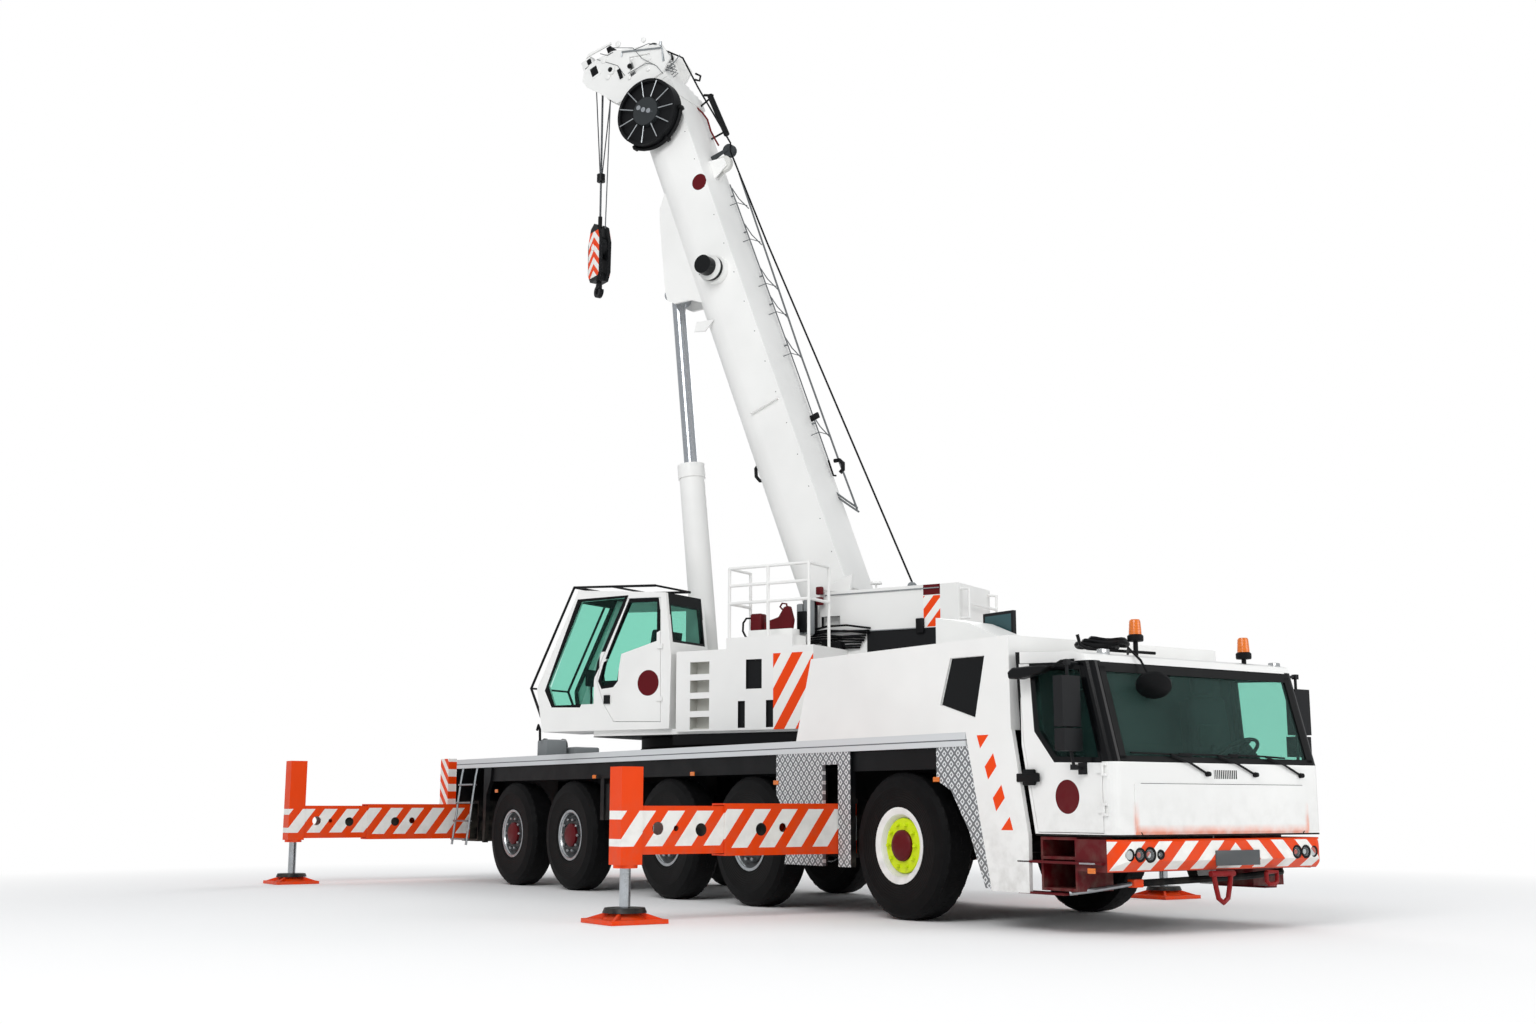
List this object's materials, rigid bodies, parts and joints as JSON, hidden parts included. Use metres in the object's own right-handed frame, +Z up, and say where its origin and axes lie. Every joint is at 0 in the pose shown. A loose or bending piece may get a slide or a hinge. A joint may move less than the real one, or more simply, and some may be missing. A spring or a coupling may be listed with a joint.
{
  "type": "mobile crane",
  "caption": "All-terrain mobile crane: multi-axle carrier with driver's cab, sliding outriggers, slewing superstructure, luffing telescopic boom and hook.",
  "frame": {"origin": "on the ground, under the middle of the overall box", "axes": "+X to the carrier's front, +Y to its left, +Z up"},
  "size_m": [14, 8.1, 11.7625],
  "materials": {
    "dark_paint": "satin",
    "black_steel": "matte",
    "aluminium": "satin",
    "orange_paint": "gloss",
    "white_paint": "gloss",
    "black_plastic": "matte",
    "tyre": "matte",
    "rim_paint": "satin",
    "chrome": "polished"
  },
  "bodies": {
    "carrier": {"chassis": "dark_paint", "driveline": "black_steel", "deck": "aluminium", "fenders": "dark_paint", "bumper": "orange_paint", "engine_hood": "white_paint", "driver_cab": "white_paint", "cab_interior": "black_plastic"},
    "driver_door_left": {"driver_door_left": "white_paint"},
    "driver_door_right": {"driver_door_right": "white_paint"},
    "knuckle_1_left": {"knuckle_1_left": "black_steel"},
    "wheel_1_left": {"tyre_1_left": "tyre", "rim_1_left": "rim_paint"},
    "knuckle_1_right": {"knuckle_1_right": "black_steel"},
    "wheel_1_right": {"tyre_1_right": "tyre", "rim_1_right": "rim_paint"},
    "knuckle_2_left": {"knuckle_2_left": "black_steel"},
    "wheel_2_left": {"tyre_2_left": "tyre", "rim_2_left": "rim_paint"},
    "knuckle_2_right": {"knuckle_2_right": "black_steel"},
    "wheel_2_right": {"tyre_2_right": "tyre", "rim_2_right": "rim_paint"},
    "wheel_3_left": {"tyre_3_left": "tyre", "rim_3_left": "rim_paint"},
    "wheel_3_right": {"tyre_3_right": "tyre", "rim_3_right": "rim_paint"},
    "knuckle_4_left": {"knuckle_4_left": "black_steel"},
    "wheel_4_left": {"tyre_4_left": "tyre", "rim_4_left": "rim_paint"},
    "knuckle_4_right": {"knuckle_4_right": "black_steel"},
    "wheel_4_right": {"tyre_4_right": "tyre", "rim_4_right": "rim_paint"},
    "knuckle_5_left": {"knuckle_5_left": "black_steel"},
    "wheel_5_left": {"tyre_5_left": "tyre", "rim_5_left": "rim_paint"},
    "knuckle_5_right": {"knuckle_5_right": "black_steel"},
    "wheel_5_right": {"tyre_5_right": "tyre", "rim_5_right": "rim_paint"},
    "outrigger_beam_front_left": {"outrigger_beam_front_left": "orange_paint"},
    "outrigger_inner_front_left": {"outrigger_inner_front_left": "orange_paint"},
    "outrigger_foot_front_left": {"outrigger_foot_front_left": "chrome"},
    "outrigger_beam_front_right": {"outrigger_beam_front_right": "orange_paint"},
    "outrigger_inner_front_right": {"outrigger_inner_front_right": "orange_paint"},
    "outrigger_foot_front_right": {"outrigger_foot_front_right": "chrome"},
    "outrigger_beam_rear_left": {"outrigger_beam_rear_left": "orange_paint"},
    "outrigger_inner_rear_left": {"outrigger_inner_rear_left": "orange_paint"},
    "outrigger_foot_rear_left": {"outrigger_foot_rear_left": "chrome"},
    "outrigger_beam_rear_right": {"outrigger_beam_rear_right": "orange_paint"},
    "outrigger_inner_rear_right": {"outrigger_inner_rear_right": "orange_paint"},
    "outrigger_foot_rear_right": {"outrigger_foot_rear_right": "chrome"},
    "superstructure": {"superstructure": "white_paint", "hoist": "white_paint", "operator_cab": "white_paint"},
    "operator_door": {"operator_door": "white_paint"},
    "boom": {"boom_base": "white_paint", "cable_reel": "black_plastic"},
    "boom_head": {"boom_head": "white_paint"},
    "hook_block": {"hook_block": "black_steel"},
    "lift_barrel": {"lift_barrel": "white_paint"},
    "lift_rod": {"lift_rod": "chrome"}
  },
  "joints": [
    {"name": "steer_1_left", "type": "hinge", "parent": "carrier", "child": "knuckle_1_left", "pos_m": [4.15, 1.0605, 0.7], "axis": [0, 0, 1], "range_deg": [-32, 32]},
    {"name": "wheel_spin_1_left", "type": "hinge", "parent": "knuckle_1_left", "child": "wheel_1_left", "pos_m": [4.15, 1.1825, 0.7], "axis": [0, 1, 0], "continuous": true},
    {"name": "steer_1_right", "type": "hinge", "parent": "carrier", "child": "knuckle_1_right", "pos_m": [4.15, -1.0605, 0.7], "axis": [0, 0, 1], "range_deg": [-32, 32]},
    {"name": "wheel_spin_1_right", "type": "hinge", "parent": "knuckle_1_right", "child": "wheel_1_right", "pos_m": [4.15, -1.1825, 0.7], "axis": [0, 1, 0], "continuous": true},
    {"name": "steer_2_left", "type": "hinge", "parent": "carrier", "child": "knuckle_2_left", "pos_m": [1.485, 1.0605, 0.7], "axis": [0, 0, 1], "range_deg": [-24, 24]},
    {"name": "wheel_spin_2_left", "type": "hinge", "parent": "knuckle_2_left", "child": "wheel_2_left", "pos_m": [1.485, 1.1825, 0.7], "axis": [0, 1, 0], "continuous": true},
    {"name": "steer_2_right", "type": "hinge", "parent": "carrier", "child": "knuckle_2_right", "pos_m": [1.485, -1.0605, 0.7], "axis": [0, 0, 1], "range_deg": [-24, 24]},
    {"name": "wheel_spin_2_right", "type": "hinge", "parent": "knuckle_2_right", "child": "wheel_2_right", "pos_m": [1.485, -1.1825, 0.7], "axis": [0, 1, 0], "continuous": true},
    {"name": "wheel_spin_3_left", "type": "hinge", "parent": "carrier", "child": "wheel_3_left", "pos_m": [-0.284, 1.1825, 0.7], "axis": [0, 1, 0], "continuous": true},
    {"name": "wheel_spin_3_right", "type": "hinge", "parent": "carrier", "child": "wheel_3_right", "pos_m": [-0.284, -1.1825, 0.7], "axis": [0, 1, 0], "continuous": true},
    {"name": "steer_4_left", "type": "hinge", "parent": "carrier", "child": "knuckle_4_left", "pos_m": [-2.764, 1.0605, 0.7], "axis": [0, 0, 1], "range_deg": [-14, 14]},
    {"name": "wheel_spin_4_left", "type": "hinge", "parent": "knuckle_4_left", "child": "wheel_4_left", "pos_m": [-2.764, 1.1825, 0.7], "axis": [0, 1, 0], "continuous": true},
    {"name": "steer_4_right", "type": "hinge", "parent": "carrier", "child": "knuckle_4_right", "pos_m": [-2.764, -1.0605, 0.7], "axis": [0, 0, 1], "range_deg": [-14, 14]},
    {"name": "wheel_spin_4_right", "type": "hinge", "parent": "knuckle_4_right", "child": "wheel_4_right", "pos_m": [-2.764, -1.1825, 0.7], "axis": [0, 1, 0], "continuous": true},
    {"name": "steer_5_left", "type": "hinge", "parent": "carrier", "child": "knuckle_5_left", "pos_m": [-4.491, 1.0605, 0.7], "axis": [0, 0, 1], "range_deg": [-24, 24]},
    {"name": "wheel_spin_5_left", "type": "hinge", "parent": "knuckle_5_left", "child": "wheel_5_left", "pos_m": [-4.491, 1.1825, 0.7], "axis": [0, 1, 0], "continuous": true},
    {"name": "steer_5_right", "type": "hinge", "parent": "carrier", "child": "knuckle_5_right", "pos_m": [-4.491, -1.0605, 0.7], "axis": [0, 0, 1], "range_deg": [-24, 24]},
    {"name": "wheel_spin_5_right", "type": "hinge", "parent": "knuckle_5_right", "child": "wheel_5_right", "pos_m": [-4.491, -1.1825, 0.7], "axis": [0, 1, 0], "continuous": true},
    {"name": "driver_door_left_hinge", "type": "hinge", "parent": "carrier", "child": "driver_door_left", "pos_m": [6.884, 1.356, 1.2], "axis": [0, 0, -1], "range_deg": [0, 70]},
    {"name": "driver_door_right_hinge", "type": "hinge", "parent": "carrier", "child": "driver_door_right", "pos_m": [6.884, -1.356, 1.2], "axis": [0, 0, 1], "range_deg": [0, 70]},
    {"name": "outrigger_beam_front_left_slide", "type": "slide", "parent": "carrier", "child": "outrigger_beam_front_left", "axis": [0, 1, 0], "range_m": [-1.58, 0]},
    {"name": "outrigger_inner_front_left_slide", "type": "slide", "parent": "outrigger_beam_front_left", "child": "outrigger_inner_front_left", "axis": [0, 1, 0], "range_m": [-0.91, 0]},
    {"name": "outrigger_foot_front_left_slide", "type": "slide", "parent": "outrigger_inner_front_left", "child": "outrigger_foot_front_left", "axis": [0, 0, 1], "range_m": [0, 0.33]},
    {"name": "outrigger_beam_front_right_slide", "type": "slide", "parent": "carrier", "child": "outrigger_beam_front_right", "axis": [0, -1, 0], "range_m": [-1.58, 0]},
    {"name": "outrigger_inner_front_right_slide", "type": "slide", "parent": "outrigger_beam_front_right", "child": "outrigger_inner_front_right", "axis": [0, -1, 0], "range_m": [-0.91, 0]},
    {"name": "outrigger_foot_front_right_slide", "type": "slide", "parent": "outrigger_inner_front_right", "child": "outrigger_foot_front_right", "axis": [0, 0, 1], "range_m": [0, 0.33]},
    {"name": "outrigger_beam_rear_left_slide", "type": "slide", "parent": "carrier", "child": "outrigger_beam_rear_left", "axis": [0, 1, 0], "range_m": [-1.58, 0]},
    {"name": "outrigger_inner_rear_left_slide", "type": "slide", "parent": "outrigger_beam_rear_left", "child": "outrigger_inner_rear_left", "axis": [0, 1, 0], "range_m": [-0.91, 0]},
    {"name": "outrigger_foot_rear_left_slide", "type": "slide", "parent": "outrigger_inner_rear_left", "child": "outrigger_foot_rear_left", "axis": [0, 0, 1], "range_m": [0, 0.33]},
    {"name": "outrigger_beam_rear_right_slide", "type": "slide", "parent": "carrier", "child": "outrigger_beam_rear_right", "axis": [0, -1, 0], "range_m": [-1.58, 0]},
    {"name": "outrigger_inner_rear_right_slide", "type": "slide", "parent": "outrigger_beam_rear_right", "child": "outrigger_inner_rear_right", "axis": [0, -1, 0], "range_m": [-0.91, 0]},
    {"name": "outrigger_foot_rear_right_slide", "type": "slide", "parent": "outrigger_inner_rear_right", "child": "outrigger_foot_rear_right", "axis": [0, 0, 1], "range_m": [0, 0.33]},
    {"name": "slew", "type": "hinge", "parent": "carrier", "child": "superstructure", "pos_m": [-1.55, 0, 1.8], "axis": [0, 0, 1], "continuous": true},
    {"name": "operator_door_hinge", "type": "hinge", "parent": "superstructure", "child": "operator_door", "pos_m": [-0.81234, -1.13234, 2.8], "axis": [0, 0, 1], "range_deg": [0, 75]},
    {"name": "luff", "type": "hinge", "parent": "superstructure", "child": "boom", "pos_m": [0.44388, 0.92976, 3.05], "axis": [-0.4226, 0.9063, 0], "range_deg": [-61.4, 8.6]},
    {"name": "telescope", "type": "slide", "parent": "boom", "child": "boom_head", "axis": [-0.3189, -0.1487, 0.9361], "range_m": [0, 6.5]},
    {"name": "hook_hang", "type": "hinge", "parent": "boom_head", "child": "hook_block", "pos_m": [-3.2725, -0.80322, 11.48669], "axis": [-0.4226, 0.9063, 0], "range_deg": [-8.6, 61.4]},
    {"name": "lift_barrel_swing", "type": "hinge", "parent": "superstructure", "child": "lift_barrel", "pos_m": [-1.50469, 0.02113, 2.2], "axis": [-0.4226, 0.9063, 0], "range_deg": [-69, 10]},
    {"name": "lift_rod_slide", "type": "slide", "parent": "lift_barrel", "child": "lift_rod", "axis": [-0.0906, -0.0423, 0.995], "range_m": [-2.3, 0.35]}
  ],
  "couplings": [
    {"joint": "steer_1_right", "follows": "steer_1_left", "ratio": 1},
    {"joint": "steer_2_left", "follows": "steer_1_left", "ratio": 0.75},
    {"joint": "steer_2_right", "follows": "steer_1_left", "ratio": 0.75},
    {"joint": "steer_4_left", "follows": "steer_5_left", "ratio": 0.58333},
    {"joint": "steer_4_right", "follows": "steer_5_left", "ratio": 0.58333},
    {"joint": "steer_5_right", "follows": "steer_5_left", "ratio": 1},
    {"joint": "outrigger_inner_front_left_slide", "follows": "outrigger_beam_front_left_slide", "ratio": 0.57595},
    {"joint": "outrigger_inner_front_right_slide", "follows": "outrigger_beam_front_right_slide", "ratio": 0.57595},
    {"joint": "outrigger_inner_rear_left_slide", "follows": "outrigger_beam_rear_left_slide", "ratio": 0.57595},
    {"joint": "outrigger_inner_rear_right_slide", "follows": "outrigger_beam_rear_right_slide", "ratio": 0.57595},
    {"joint": "hook_hang", "follows": "luff", "ratio": -1},
    {"joint": "lift_barrel_swing", "follows": "luff", "ratio": 1.11},
    {"joint": "lift_rod_slide", "follows": "luff", "m_per_rad": 2.1}
  ]
}
